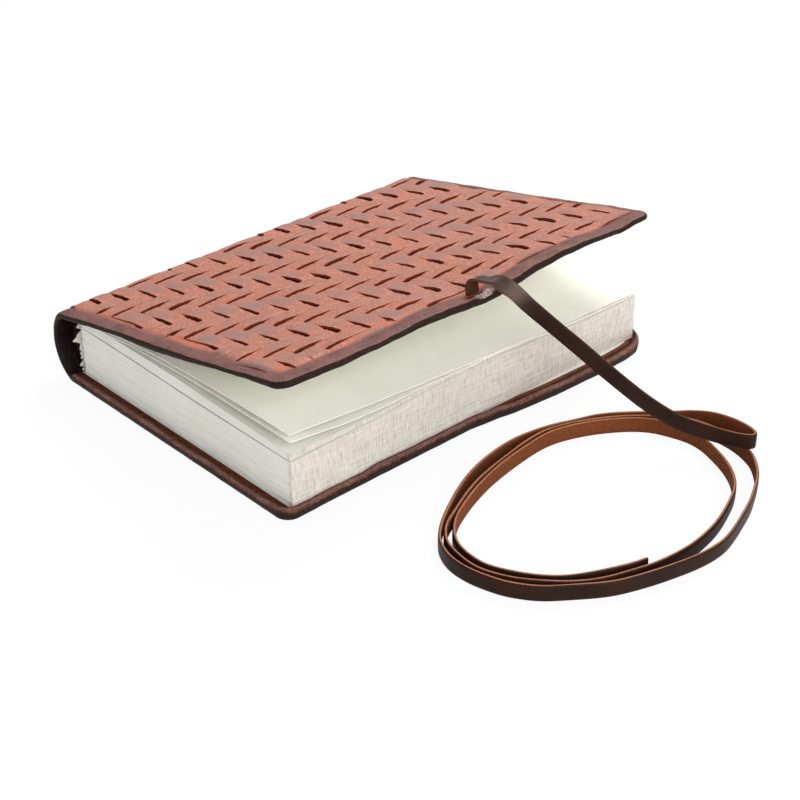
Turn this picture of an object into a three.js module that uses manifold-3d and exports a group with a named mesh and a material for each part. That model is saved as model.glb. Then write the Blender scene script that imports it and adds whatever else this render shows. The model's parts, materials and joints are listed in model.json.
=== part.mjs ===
// Hand-bound leather notebook with a woven front cover, a hollow leather spine,
// sewn paper sections and a long flat leather tie that lies beside it in loose loops.
// Millimetres, +Z up. The spine is at -X, the fore edge at +X, the tail at -Y and the head at +Y.
// The origin is on the table under the middle of the book.
import * as THREE from 'three';
import Module from 'manifold-3d';
import { mergeVertices } from 'three/addons/utils/BufferGeometryUtils.js';

const wasm = await Module();
wasm.setup();

// Driving dimensions of the book
const bookWidth = 135.2; // over the spine and the back cover's fore edge
const bookHeight = 178; // tail to head
const seat = 0.3; // clearance between pieces that rest on each other
const layerGap = 0.2; // glue line between the layers of a cover
const cornerRadius = 6; // plan radius of the covers' fore corners
const ajarAngle = 12.13; // the front cover's lift as the book lies, in degrees
const pageInset = 4.6; // from the covers' edges to the paper

// Spine leather, an ellipse in section, as high as the pages between the covers make it
const spineBulge = 11; // half width of the ellipse
const spineLeather = 2.4; // leather with its turned-in edge
const spineTopAngle = 119.5; // where the leather ends under the front hinge, in degrees
const spineBottomAngle = 246.4; // where it ends over the back hinge
const spineFoot = 0.62; // its lower end above the table
const spineSteps = 14;

// The leather flexes beside the spine's ends: each hinge axis is measured from there
const frontFlex = { x: -0.48, z: 0.89 };
const backFlex = 0.5;

// Front cover, measured from its underside
const foreOverhang = 0.1; // how far it reaches past the back cover when shut
const hingeSkin = 0.4; // leather above the hinge axis
const endpaper = 0.25;
const lining = 0.5;
const board = 0.85;
const strip = 0.55; // thickness of a woven strip
const stripLift = 0.3; // clearance between two strips where they cross
const bandTop = 0.5; // thickness of the border's flat band
const bandWall = 1.0; // thickness of the border's turned edge
const borderFore = 7;
const borderTail = 6;
const borderHead = 4.5;
const columns = 17; // strips that run from tail to head
const rows = 23; // strips that run from spine to fore edge
const floatLength = 3; // a strip passes over three and under three
const stripShare = 0.855; // width of a strip as a share of the weave's pitch
const weaveMargin = 1.1; // from the last strip to the border's band
const tuck = 1; // how far a strip's end reaches under the band
const weaveStart = 1; // from the hinge axis to the first column
const hingeRelief = { strips: 0.7, board: 1.8, lining: 2.6, border: 3, endpaper: 8 };

// Slit in the border that the tie comes through
const slit = { inset: 4.3, y: -1.2, width: 2.2, length: 7 };

// Back cover, measured from the table
const backRelief = 0.7; // from the back hinge's axis
const backLeather = 0.9;
const backBoard = 1;
const backLining = 0.6;
const rimHeight = 4.2;
const rimWall = 1.3;

// Text block
const sectionCount = 4;
const sectionThickness = 4.3;
const foldInset = 11.4; // from the spine's outside to the sections' folds
const threadRadius = 0.35;
const threadStations = 8;
const threadMargin = 12; // from the paper's tail to the first station
const mull = 0.4; // thickness of the spine lining

// Loose paper over the block: thickness and lift above the block as the book lies
const looseSection = { thickness: 1.2, lift: 1.2 };
const secondLeaf = { thickness: 0.3, lift: 3.6 };
const topLeaf = { thickness: 0.25, lift: 5 };

// Tie: a flat leather lace that stands on its edge where it lies on the table
const laceWidth = 6;
const laceThickness = 1.4;
const laceCrown = 0.05; // each face is slightly full
const laceFloor = 0.05; // its lower edge above the table
const loopSteps = 24;
const loops = {
  centre: [129.6, -3], // middle of the first loop
  drift: [-1.1, -1.75], // move of the middle from loop to loop
  halfWidth: 43.7,
  halfLength: 64.5,
  narrowing: [3.7, 4.25], // loss of half width and half length from loop to loop
  lobe: 0.023,
  lobeAngle: 10.6,
  start: 88, // degrees
  turns: 2.66,
  crossing: 0.55, // gap where the first loop starts over the tie's own strand
  landing: 0.13, // share of a turn in which it comes down
};

const rad = THREE.MathUtils.degToRad;
const halfWidth = bookWidth / 2;
const halfHeight = bookHeight / 2;
const paperTop = halfHeight - pageInset;
const foldX = foldInset - halfWidth;
const foreX = halfWidth - pageInset;

// Heights in the back cover and the text block, from the table up
const backBoardBase = backLeather + layerGap;
const backLiningBase = backBoardBase + backBoard + layerGap;
const backEndpaperBase = backLiningBase + backLining + layerGap;
const blockBase = backEndpaperBase + endpaper + seat;
const sectionBase = (k) => blockBase + k * (sectionThickness + seat);
const blockTop = sectionBase(sectionCount) - seat;
const loosePaper = [
  ['loose_section', looseSection], ['second_leaf', secondLeaf], ['top_leaf', topLeaf]];
const pileTop = loosePaper.reduce((top, [, { thickness }]) => top + seat + thickness, blockTop);

// Heights in the front cover, from its underside up
const liningBase = endpaper + layerGap;
const boardBase = liningBase + lining + layerGap;
const weaveBase = boardBase + board + layerGap;
const weaveRise = strip + stripLift;
const frontThickness = weaveBase + weaveRise + strip;
const bandBase = weaveBase + strip + layerGap;
const axisDepth = frontThickness - hingeSkin; // the hinge axis above the cover's underside
const inCover = (height) => height - axisDepth;

// The shut front cover lies on the loose pages, and the spine reaches up to its hinge
const frontHingeZ = pileTop + axisDepth;
const spineRise = frontHingeZ - frontFlex.z - spineFoot;
const spineHalfHeight = spineRise / (Math.sin(rad(spineTopAngle)) - Math.sin(rad(spineBottomAngle)));
const spineCentreZ = spineFoot - spineHalfHeight * Math.sin(rad(spineBottomAngle));

function spinePoint(degrees, inset) {
  const angle = rad(degrees);
  const normal = new THREE.Vector2(Math.cos(angle) / spineBulge, Math.sin(angle) / spineHalfHeight);
  normal.normalize();
  return new THREE.Vector2(
    -halfWidth + spineBulge + spineBulge * Math.cos(angle) - normal.x * inset,
    spineCentreZ + spineHalfHeight * Math.sin(angle) - normal.y * inset,
  );
}

const frontHingeX = spinePoint(spineTopAngle, 0).x + frontFlex.x;
const backHingeX = spinePoint(spineBottomAngle, 0).x + backFlex;
const frontLength = halfWidth + foreOverhang - frontHingeX; // from the hinge axis to the fore edge
const slitX = frontLength - slit.inset;

const finishes = {
  grain: { color: 0x7d4a3f, roughness: 0.5, metalness: 0 },
  field: { color: 0xb5654f, roughness: 0.55, metalness: 0 },
  edge: { color: 0x3a2420, roughness: 0.45, metalness: 0 },
  suede: { color: 0x8a4a32, roughness: 0.85, metalness: 0 },
  board: { color: 0x9a8468, roughness: 0.9, metalness: 0 },
  paper: { color: 0xeae6d6, roughness: 0.95, metalness: 0 },
  cloth: { color: 0xe4e0d0, roughness: 0.95, metalness: 0 },
  thread: { color: 0xd8cfb8, roughness: 0.8, metalness: 0 },
  lace: { color: 0x4a2a22, roughness: 0.5, metalness: 0 },
};

const group = new THREE.Group();
const frontCover = new THREE.Group();
frontCover.position.set(frontHingeX, 0, frontHingeZ);
frontCover.rotation.y = -rad(ajarAngle);
group.add(frontCover);

function place(parent, name, geometry, finish) {
  const mesh = new THREE.Mesh(geometry, new THREE.MeshStandardMaterial(finishes[finish]));
  mesh.name = name;
  parent.add(mesh);
  return mesh;
}

function toSolid(geometry) {
  const bare = geometry.clone();
  bare.deleteAttribute('normal');
  bare.deleteAttribute('uv');
  const merged = mergeVertices(bare, 1e-5);
  return new wasm.Manifold(new wasm.Mesh({
    numProp: 3,
    vertProperties: new Float32Array(merged.attributes.position.array),
    triVerts: new Uint32Array(merged.index.array),
  }));
}

function fromSolid(solid) {
  const mesh = solid.getMesh();
  const geometry = new THREE.BufferGeometry();
  geometry.setAttribute('position', new THREE.BufferAttribute(new Float32Array(mesh.vertProperties), 3));
  geometry.setIndex(new THREE.BufferAttribute(new Uint32Array(mesh.triVerts), 1));
  geometry.computeVertexNormals();
  return geometry;
}

// A flat sheet of a plan outline, from one height to another
function sheet(outline, from, to) {
  const geometry = new THREE.ExtrudeGeometry(outline, {
    depth: to - from, bevelEnabled: false, curveSegments: 5,
  });
  return geometry.translate(0, 0, from);
}

// A profile drawn in X and Z, run along Y and centred
function runAlongBook(profile, length) {
  const geometry = new THREE.ExtrudeGeometry(profile, {
    depth: length, bevelEnabled: false, curveSegments: 6,
  });
  return geometry.rotateX(Math.PI / 2).translate(0, length / 2, 0);
}

// A cover's plan outline: square at the hinge and rounded at the fore corners
function coverOutline(start, end, tail, head, radius) {
  const outline = new THREE.Shape();
  outline.moveTo(start, tail);
  outline.lineTo(end - radius, tail);
  outline.absarc(end - radius, tail + radius, radius, -Math.PI / 2, 0, false);
  outline.lineTo(end, head - radius);
  outline.absarc(end - radius, head - radius, radius, 0, Math.PI / 2, false);
  outline.lineTo(start, head);
  outline.closePath();
  return outline;
}

// The strip of a cover between its edge and a window that is open at the hinge
function borderOutline(start, end, halfSpan, fore, tail, head, radius) {
  const outline = coverOutline(start, end, -halfSpan, halfSpan, radius);
  const points = outline.getPoints(5);
  const inner = Math.max(radius - Math.min(fore, tail, head), 1);
  const window = coverOutline(start, end - fore, -halfSpan + tail, halfSpan - head, inner);
  const windowPoints = window.getPoints(5);
  points.pop();
  windowPoints.pop();
  return new THREE.Shape([...points, ...windowPoints.reverse()]);
}

function slitHole() {
  const hole = new THREE.Path();
  const [x0, x1] = [slitX - slit.width / 2, slitX + slit.width / 2];
  const [y0, y1] = [slit.y - slit.length / 2, slit.y + slit.length / 2];
  hole.moveTo(x0, y0);
  hole.lineTo(x0, y1);
  hole.lineTo(x1, y1);
  hole.lineTo(x1, y0);
  hole.closePath();
  return hole;
}

// A closed band joined through stations, each with a centre, a side and a face direction
function band(stations, section) {
  const sides = section.length;
  const positions = [];
  for (const { centre, side, face } of stations) {
    for (const [s, f] of section) {
      positions.push(
        centre.x + side.x * s + face.x * f,
        centre.y + side.y * s + face.y * f,
        centre.z + side.z * s + face.z * f,
      );
    }
  }
  const index = [];
  for (let k = 0; k + 1 < stations.length; k += 1) {
    for (let i = 0; i < sides; i += 1) {
      const j = (i + 1) % sides;
      const [a, b] = [k * sides + i, k * sides + j];
      index.push(a, b, b + sides, a, b + sides, a + sides);
    }
  }
  const last = (stations.length - 1) * sides;
  for (let i = 1; i + 1 < sides; i += 1) {
    index.push(0, i + 1, i, last, last + i, last + i + 1);
  }
  const geometry = new THREE.BufferGeometry();
  geometry.setAttribute('position', new THREE.Float32BufferAttribute(positions, 3));
  geometry.setIndex(index);
  geometry.computeVertexNormals();
  return geometry;
}

const boardEdge = bandWall + layerGap; // the layers stop inside the turned edge
const innerRadius = cornerRadius - boardEdge;

function frontSheet(start, edge, from, to, pierced) {
  const half = halfHeight - edge;
  const outline = coverOutline(start, frontLength - edge, -half, half, innerRadius);
  if (pierced) outline.holes.push(slitHole());
  return sheet(outline, inCover(from), inCover(to));
}

place(frontCover, 'front_endpaper',
  frontSheet(hingeRelief.endpaper, pageInset, 0, endpaper, false), 'paper');
place(frontCover, 'front_lining',
  frontSheet(hingeRelief.lining, boardEdge, liningBase, liningBase + lining, true), 'suede');
place(frontCover, 'front_board',
  frontSheet(hingeRelief.board, boardEdge, boardBase, boardBase + board, true), 'board');

// Border: a flat band round the weave and the edge that is turned over the board
const bandOutline = borderOutline(
  hingeRelief.border, frontLength, halfHeight, borderFore, borderTail, borderHead, cornerRadius);
bandOutline.holes.push(slitHole());
const wallOutline = borderOutline(
  hingeRelief.border, frontLength, halfHeight, bandWall, bandWall, bandWall, cornerRadius);
const bandPart = toSolid(sheet(bandOutline, inCover(bandBase), inCover(bandBase + bandTop)));
const wallPart = toSolid(sheet(wallOutline, inCover(0), inCover(bandBase + bandTop)));
place(frontCover, 'front_border', fromSolid(bandPart.add(wallPart)), 'edge');

// Weave: over three and under three, one step to the right in each row
const fieldEnd = frontLength - borderFore - weaveMargin;
const fieldTail = -halfHeight + borderTail + weaveMargin;
const fieldHead = halfHeight - borderHead - weaveMargin;
const columnPitch = (fieldEnd - weaveStart) / columns;
const rowPitch = (fieldHead - fieldTail) / rows;
const columnMiddle = (i) => weaveStart + (i + 0.5) * columnPitch;
const rowMiddle = (j) => fieldTail + (j + 0.5) * rowPitch;
const rowIsOver = (i, j) => THREE.MathUtils.euclideanModulo(i - j, 2 * floatLength) >= floatLength;
const lowLevel = inCover(weaveBase + strip / 2);
const highLevel = lowLevel + weaveRise;

// Stations of one strip: level at each crossing, with its steps between two crossings
function stripCourse(start, end, count, middle, crossWidth, isOver) {
  const level = (k) => (isOver(k) ? highLevel : lowLevel);
  const course = [[start, level(0)]];
  for (let k = 0; k + 1 < count; k += 1) {
    if (level(k) !== level(k + 1)) {
      course.push([middle(k) + crossWidth / 2, level(k)]);
      course.push([middle(k + 1) - crossWidth / 2, level(k + 1)]);
    }
  }
  if (isOver(count - 1)) {
    course.push([middle(count - 1) + crossWidth / 2, highLevel]);
    course.push([end - tuck - layerGap, lowLevel]);
  }
  course.push([end, lowLevel]);
  return course;
}

function stripSection(width) {
  const [side, face] = [width / 2, strip / 2];
  return [[-side, -face], [side, -face], [side, face], [-side, face]];
}

const up = new THREE.Vector3(0, 0, 1);
const alongX = new THREE.Vector3(1, 0, 0);
const alongY = new THREE.Vector3(0, 1, 0);
const columnWidth = columnPitch * stripShare;
const rowWidth = rowPitch * stripShare;
const numbered = (name, k) => `${name}_${String(k + 1).padStart(2, '0')}`;

for (let j = 0; j < rows; j += 1) {
  const course = stripCourse(hingeRelief.strips, fieldEnd + weaveMargin + tuck, columns, columnMiddle,
    columnWidth, (i) => rowIsOver(i, j));
  const stations = course.map(([x, z]) => (
    { centre: new THREE.Vector3(x, rowMiddle(j), z), side: alongY, face: up }));
  place(frontCover, numbered('front_cross_strip', j), band(stations, stripSection(rowWidth)), 'field');
}

for (let i = 0; i < columns; i += 1) {
  // the course starts at the tail, so its first end is also tucked under the band
  const tailEnd = fieldTail - weaveMargin - tuck;
  const course = stripCourse(tailEnd, fieldHead + weaveMargin + tuck, rows, rowMiddle,
    rowWidth, (j) => !rowIsOver(i, j));
  if (course[0][1] === highLevel) {
    course.splice(0, 1, [tailEnd, lowLevel], [tailEnd + tuck + layerGap, lowLevel],
      [rowMiddle(0) - rowWidth / 2, highLevel]);
  }
  const stations = course.map(([y, z]) => (
    { centre: new THREE.Vector3(columnMiddle(i), y, z), side: alongX.clone().negate(), face: up }));
  place(frontCover, numbered('front_long_strip', i), band(stations, stripSection(columnWidth)), 'field');
}

// Spine leather
const spineProfile = [];
for (let k = 0; k <= spineSteps; k += 1) {
  const degrees = THREE.MathUtils.lerp(spineTopAngle, spineBottomAngle, k / spineSteps);
  spineProfile.push(spinePoint(degrees, 0));
  spineProfile.unshift(spinePoint(degrees, spineLeather));
}
place(group, 'spine_leather', runAlongBook(new THREE.Shape(spineProfile), bookHeight), 'grain');

// Back cover: outer leather with its raised rim, board, lining and endpaper
const backStart = backHingeX + backRelief;
const plateOutline = coverOutline(backStart, halfWidth, -halfHeight, halfHeight, cornerRadius);
const rimOutline = borderOutline(
  backStart + hingeRelief.border, halfWidth, halfHeight, rimWall, rimWall, rimWall, cornerRadius);
const backPlate = toSolid(sheet(plateOutline, 0, backLeather));
const backRim = toSolid(sheet(rimOutline, 0, rimHeight));
place(group, 'back_leather', fromSolid(backPlate.add(backRim)), 'edge');

const rimEdge = rimWall + layerGap;

function backSheet(start, edge, from, to) {
  const half = halfHeight - edge;
  const radius = Math.max(cornerRadius - edge, 1);
  return sheet(coverOutline(start, halfWidth - edge, -half, half, radius), from, to);
}

place(group, 'back_board',
  backSheet(backStart, rimEdge, backBoardBase, backBoardBase + backBoard), 'board');
place(group, 'back_lining',
  backSheet(backStart + hingeRelief.lining, rimEdge, backLiningBase, backLiningBase + backLining), 'suede');
place(group, 'back_endpaper',
  backSheet(foldX + seat, pageInset, backEndpaperBase, backEndpaperBase + endpaper), 'paper');

// Text block: sewn sections with a round fold at the spine
for (let k = 0; k < sectionCount; k += 1) {
  const radius = sectionThickness / 2;
  const middle = sectionBase(k) + radius;
  const profile = new THREE.Shape();
  profile.moveTo(foreX, middle - radius);
  profile.lineTo(foreX, middle + radius);
  profile.absarc(foldX + radius, middle, radius, Math.PI / 2, Math.PI * 1.5, false);
  profile.closePath();
  place(group, `section_${k + 1}`, runAlongBook(profile, 2 * paperTop), 'paper');
}

// Sewing thread along the folds, up and down between the first and the last section
const threadX = foldX - seat - threadRadius;
const threadStep = (2 * paperTop - 2 * threadMargin) / (threadStations - 1);
const threadLow = sectionBase(0) + sectionThickness / 2;
const threadHigh = sectionBase(sectionCount - 1) + sectionThickness / 2;
const threadPath = [];
for (let k = 0; k < threadStations; k += 1) {
  const y = -paperTop + threadMargin + k * threadStep;
  const ends = k % 2 ? [threadHigh, threadLow] : [threadLow, threadHigh];
  for (const z of ends) threadPath.push(new THREE.Vector3(threadX, y, z));
}
const hexagon = Array.from({ length: 6 }, (_, k) => (
  [threadRadius * Math.cos(k * Math.PI / 3), threadRadius * Math.sin(k * Math.PI / 3)]));
const threadStationsAt = threadPath.map((centre, k) => {
  const before = threadPath[Math.max(k - 1, 0)];
  const after = threadPath[Math.min(k + 1, threadPath.length - 1)];
  const tangent = after.clone().sub(before).normalize();
  const inside = k > 0 && k < threadPath.length - 1;
  const mitre = inside ? Math.SQRT2 : 1;
  return { centre, side: alongX, face: tangent.clone().cross(alongX).multiplyScalar(mitre) };
});
place(group, 'sewing_thread', band(threadStationsAt, hexagon), 'thread');

// Open-weave lining glued over the folds and the thread
const mullX = threadX - threadRadius - seat - mull / 2;
const mullHeight = blockTop - blockBase;
const mullGeometry = new THREE.BoxGeometry(mull, 2 * paperTop - 2 * pageInset, mullHeight);
place(group, 'spine_lining', mullGeometry.translate(mullX, 0, blockBase + mullHeight / 2), 'cloth');

// Loose paper: each piece turns about the fold above the block
let leafBase = blockTop + seat;
for (const [name, { thickness, lift }] of loosePaper) {
  const turned = new THREE.Group();
  turned.position.set(foldX + seat, 0, leafBase + thickness / 2);
  turned.rotation.y = -rad(lift);
  const length = foreX - foldX - seat;
  const geometry = new THREE.BoxGeometry(length, 2 * paperTop, thickness);
  place(turned, name, geometry.translate(length / 2, 0, 0), 'paper');
  group.add(turned);
  leafBase += thickness + seat;
}

// Tie
const laceSection = [
  [-laceWidth / 2, -laceThickness / 2], [0, -laceThickness / 2 - laceCrown],
  [laceWidth / 2, -laceThickness / 2], [laceWidth / 2, laceThickness / 2],
  [0, laceThickness / 2 + laceCrown], [-laceWidth / 2, laceThickness / 2]];

function laceStations(points, faces) {
  return points.map((centre, k) => {
    const before = points[Math.max(k - 1, 0)];
    const after = points[Math.min(k + 1, points.length - 1)];
    const tangent = after.clone().sub(before).normalize();
    const face = faces[k].clone().addScaledVector(tangent, -tangent.dot(faces[k])).normalize();
    const side = face.clone().cross(tangent);
    return { centre, side, face };
  });
}

const restHeight = laceFloor + laceWidth / 2;
const crossingHeight = restHeight + laceWidth + loops.crossing;

function loopPoint(turn) {
  const angle = rad(loops.start) + 2 * Math.PI * turn;
  const a = loops.halfWidth - loops.narrowing[0] * turn;
  const b = loops.halfLength - loops.narrowing[1] * turn;
  const oval = (a * b) / Math.hypot(b * Math.cos(angle), a * Math.sin(angle));
  const radius = oval * (1 + loops.lobe * Math.cos(3 * (angle - rad(loops.lobeAngle))));
  const down = THREE.MathUtils.smoothstep(turn, 0, loops.landing);
  return new THREE.Vector3(
    loops.centre[0] + loops.drift[0] * turn + radius * Math.cos(angle),
    loops.centre[1] + loops.drift[1] * turn + radius * Math.sin(angle),
    THREE.MathUtils.lerp(crossingHeight, restHeight, down),
  );
}

const coil = [];
const loopStations = Math.round(loops.turns * loopSteps);
for (let k = 0; k <= loopStations; k += 1) {
  coil.push(loopPoint(k / loopSteps));
}
const firstStep = coil[0].clone().sub(coil[1]).setZ(0).normalize();
coil.unshift(coil[0].clone().addScaledVector(firstStep, laceWidth));
const lastStep = coil.at(-1).clone().sub(coil.at(-2)).normalize();
coil.push(coil.at(-1).clone().addScaledVector(lastStep, laceWidth));

function outward(points) {
  return points.map((point, k) => {
    const before = points[Math.max(k - 1, 0)];
    const after = points[Math.min(k + 1, points.length - 1)];
    return new THREE.Vector3(after.y - before.y, before.x - after.x, 0).normalize();
  });
}

const coilFaces = outward(coil);
place(group, 'strap_loops', band(laceStations(coil, coilFaces), laceSection), 'lace');

// The least gap between two turns, measured on the points of both faces
let leastGap = Infinity;
for (let k = 0; k < coil.length; k += 1) {
  for (let n = k + loopSteps / 2; n + 1 < coil.length; n += 1) {
    const line = new THREE.Line3(coil[n], coil[n + 1]);
    const nearest = line.closestPointToPoint(coil[k], true, new THREE.Vector3());
    const gap = nearest.distanceTo(coil[k]) - laceThickness - 2 * laceCrown;
    leastGap = Math.min(leastGap, gap);
  }
}
console.log(`strap_loops: least gap between turns ${leastGap.toFixed(2)} mm`);

// The free stretch: out of the slit, over the fore edge, down to the table and round a tight bend.
// The first points are in the front cover's frame, from its hinge axis and its underside.
function inCoverFrame([x, y, height]) {
  const point = new THREE.Vector3(x, y, inCover(height)).applyAxisAngle(alongY, -rad(ajarAngle));
  return point.add(frontCover.position);
}
const upThroughSlit = [
  [slitX, slit.y, liningBase + seat / 2],
  [slitX, slit.y, boardBase + board],
  [slitX, slit.y, frontThickness + 0.6],
  [slitX + 0.5, slit.y + 0.4, frontThickness + 2.1],
  [slitX + 1.9, slit.y + 2.0, frontThickness + 2.9],
  [slitX + 3.8, slit.y + 4.4, frontThickness + 2.4],
  [slitX + 5.9, slit.y + 6.9, frontThickness + 1.3],
].map(inCoverFrame);
const downToTable = [
  [70.9, 8.7, 53.4], [75.0, 11.2, 49.3], [80.1, 14.2, 44.8], [85.3, 17.2, 40.3], [90.9, 20.4, 35.6],
  [96.0, 23.3, 31.2], [101.0, 26.2, 26.9], [106.0, 29.0, 22.8], [111.6, 32.2, 18.4], [117.5, 35.6, 14.6],
  [124.3, 39.5, 11.6], [132.3, 43.9, 10.1], [139.0, 47.0, 9.8], [143.6, 49.2, 9.7], [146.3, 51.0, 9.7],
  [147.5, 53.6, 9.7], [146.7, 56.3, 9.7],
].map(([x, y, z]) => new THREE.Vector3(x, y, z));
const meeting = coil[0].clone().addScaledVector(firstStep, seat);
const run = [...upThroughSlit, ...downToTable];
run.push(meeting.clone().addScaledVector(firstStep, laceWidth), meeting);

// The grain side faces the spine in the slit, up over the edge and outward on the table
const straightSteps = 2; // steps that go straight up through the slit
const curlSteps = 2.2; // steps in which the lace folds over flat
const twistSteps = 12; // steps in which it turns from flat to standing on edge
const runFaces = outward(run);
const coverUp = new THREE.Vector3(-Math.sin(rad(ajarAngle)), 0, Math.cos(rad(ajarAngle)));
const towardSpine = new THREE.Vector3(-Math.cos(rad(ajarAngle)), 0, -Math.sin(rad(ajarAngle)));
const overEdge = upThroughSlit.length;
for (let k = 0; k < overEdge; k += 1) {
  const share = THREE.MathUtils.clamp((k - straightSteps) / curlSteps, 0, 1);
  runFaces[k] = towardSpine.clone().lerp(coverUp, share).normalize();
}
for (let k = 0; k < twistSteps; k += 1) {
  const share = THREE.MathUtils.smoothstep(k + 1, 0, twistSteps + 1);
  runFaces[overEdge + k] = coverUp.clone().lerp(runFaces[overEdge + k], share).normalize();
}
place(group, 'strap_run', band(laceStations(run, runFaces), laceSection), 'lace');

const course = (points) => points.slice(1).reduce((sum, point, k) => sum + point.distanceTo(points[k]), 0);
console.log(`tie: ${(course(run) + course(coil)).toFixed(0)} mm long`);

export default group;
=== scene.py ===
import json
import math

import bmesh
import bpy
import numpy as np
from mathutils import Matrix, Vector


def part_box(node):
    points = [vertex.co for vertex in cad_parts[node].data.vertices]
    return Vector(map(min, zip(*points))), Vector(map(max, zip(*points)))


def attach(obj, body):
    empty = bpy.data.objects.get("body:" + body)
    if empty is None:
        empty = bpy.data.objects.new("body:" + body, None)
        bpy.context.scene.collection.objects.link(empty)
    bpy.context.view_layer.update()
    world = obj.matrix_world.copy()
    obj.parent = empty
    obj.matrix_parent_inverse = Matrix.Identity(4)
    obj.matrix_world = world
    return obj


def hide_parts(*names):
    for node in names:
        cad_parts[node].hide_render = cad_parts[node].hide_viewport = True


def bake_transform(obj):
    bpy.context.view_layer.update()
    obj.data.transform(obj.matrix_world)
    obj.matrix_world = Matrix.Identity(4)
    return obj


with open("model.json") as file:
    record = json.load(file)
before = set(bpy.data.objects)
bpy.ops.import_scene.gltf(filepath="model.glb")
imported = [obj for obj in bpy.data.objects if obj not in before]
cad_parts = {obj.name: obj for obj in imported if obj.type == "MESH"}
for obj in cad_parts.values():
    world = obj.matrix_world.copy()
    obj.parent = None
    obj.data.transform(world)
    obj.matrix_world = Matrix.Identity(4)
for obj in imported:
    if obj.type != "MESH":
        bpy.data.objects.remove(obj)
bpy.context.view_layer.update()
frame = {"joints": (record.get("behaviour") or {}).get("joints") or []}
print("frame loaded")

# Everything below is worked out in millimetres and turned into metres as a mesh is made
mm = 0.001


def nodeBox(node):
    return [np.array(corner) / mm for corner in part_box(node)]


def hingeAt(name):
    joint = next(j for j in frame["joints"] if j["name"] == name)
    return joint["pos_m"][0] / mm, joint["pos_m"][2] / mm


frontHinge = hingeAt("front_cover_hinge")
backHinge = hingeAt("back_cover_hinge")
blockLow, blockHigh = nodeBox("section_1")
foreEdge, halfHeight = nodeBox("back_leather")[1][:2]


def newObject(name, data):
    made = bpy.data.objects.new(name, data)
    bpy.context.scene.collection.objects.link(made)
    return made


def aimed(name, data, place, target):
    # a camera or a lamp that looks from its place at a target
    made = newObject(name, data)
    made.location = place
    toward = Vector(target) - Vector(place)
    made.rotation_euler = toward.to_track_quat("-Z", "Y").to_euler()
    return made


# Camera and picture

cameraSet = {
    "place": (0.43490, -0.38130, 0.33493),
    "aim": (0.05629, -0.03039, 0.02000),
    "lens": 79.66,
}
camera = aimed("camera", bpy.data.cameras.new("camera"), cameraSet["place"], cameraSet["aim"])
camera.data.lens = cameraSet["lens"]
camera.data.clip_start = 0.02
bpy.context.scene.camera = camera
bpy.context.scene.view_settings.view_transform = "Standard"


# Small tools for shapes

def smooth(x, low=0.0, high=1.0):
    t = np.clip((np.asarray(x, float) - low) / (high - low), 0, 1)
    return t * t * (3 - 2 * t)


def chance(*keys):
    # a steady number from 0 to 1 for each set of keys
    total = sum((k + 1) * (12.9898 + 23.731 * n) for n, k in enumerate(keys))
    return np.modf(np.abs(np.sin(total) * 43758.5453))[0]


def ripple(x, y, size, seed):
    # slow unevenness from -1 to 1, with no repeat that shows
    a, b = x / size, y / size
    return (np.sin(a * 1.7 + 2.1 * seed + 1.3 * np.sin(b * 0.9 + seed))
            + np.sin(b * 2.3 + 1.1 * seed + 1.7 * np.sin(a * 1.1 - seed))
            + np.sin((a + b) * 1.3 + 3.7 * seed)) / 3


def hill(x, width):
    return np.exp(-(x / width) ** 2)


def unit(ways):
    return ways / np.maximum(np.linalg.norm(ways, axis=-1, keepdims=True), 1e-9)


def lengthAlong(points):
    return np.concatenate([[0], np.cumsum(np.linalg.norm(np.diff(points, axis=0), axis=1))])


def makePiece(name, points, faces, sharp=40):
    mesh = bpy.data.meshes.new(name)
    mesh.from_pydata((np.asarray(points, float) * mm).tolist(), [], faces)
    mesh.validate()
    work = bmesh.new()
    work.from_mesh(mesh)
    bmesh.ops.recalc_face_normals(work, faces=work.faces)
    work.to_mesh(mesh)
    work.free()
    mesh.polygons.foreach_set("use_smooth", [True] * len(mesh.polygons))
    mesh.set_sharp_from_angle(angle=math.radians(sharp))
    return newObject(name, mesh)


def paint(piece, **painted):
    for name, values in painted.items():
        layer = piece.data.attributes.new(name, "FLOAT", "POINT")
        layer.data.foreach_set("value", np.asarray(values, np.float32).ravel())


def ringFaces(count, around):
    # faces of a skin through rings of points, with a face over each end
    faces = []
    last = (count - 1) * around
    for a in range(0, last, around):
        for i in range(around):
            j = (i + 1) % around
            faces.append((a + i, a + around + i, a + around + j, a + j))
    return faces + [tuple(range(around)), tuple(last + i for i in reversed(range(around)))]


def ringPiece(name, rings, sharp):
    return makePiece(name, rings.reshape(-1, 3), ringFaces(*rings.shape[:2]), sharp)


def rimOf(rows, cols):
    # the numbers of the points round a grid, in turn
    rim = list(range(cols)) + [r * cols + cols - 1 for r in range(1, rows)]
    rim += [(rows - 1) * cols + c for c in reversed(range(cols - 1))]
    return rim + [r * cols for r in reversed(range(1, rows - 1))]


def sheetPiece(name, top, under, sides=(), sharp=40):
    # a closed body between two grids of points, with runs of points up its sides
    rows, cols = top.shape[:2]
    half, rim = rows * cols, rimOf(rows, cols)
    faces = []
    for r in range(rows - 1):
        for a in range(r * cols, r * cols + cols - 1):
            b = half + a
            faces.append((a, a + 1, a + cols + 1, a + cols))
            faces.append((b, b + cols, b + cols + 1, b + 1))
    runs = [[(2 * half + k * len(rim)) + i for i in range(len(rim))] for k in range(len(sides))]
    chain = [[half + i for i in rim], *runs, rim]
    for lower, upper in zip(chain, chain[1:]):
        for i in range(len(rim)):
            faces.append((lower[i - 1], lower[i], upper[i], upper[i - 1]))
    points = np.concatenate([top.reshape(-1, 3), under.reshape(-1, 3), *sides])
    return makePiece(name, points, faces, sharp)


# Materials

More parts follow.
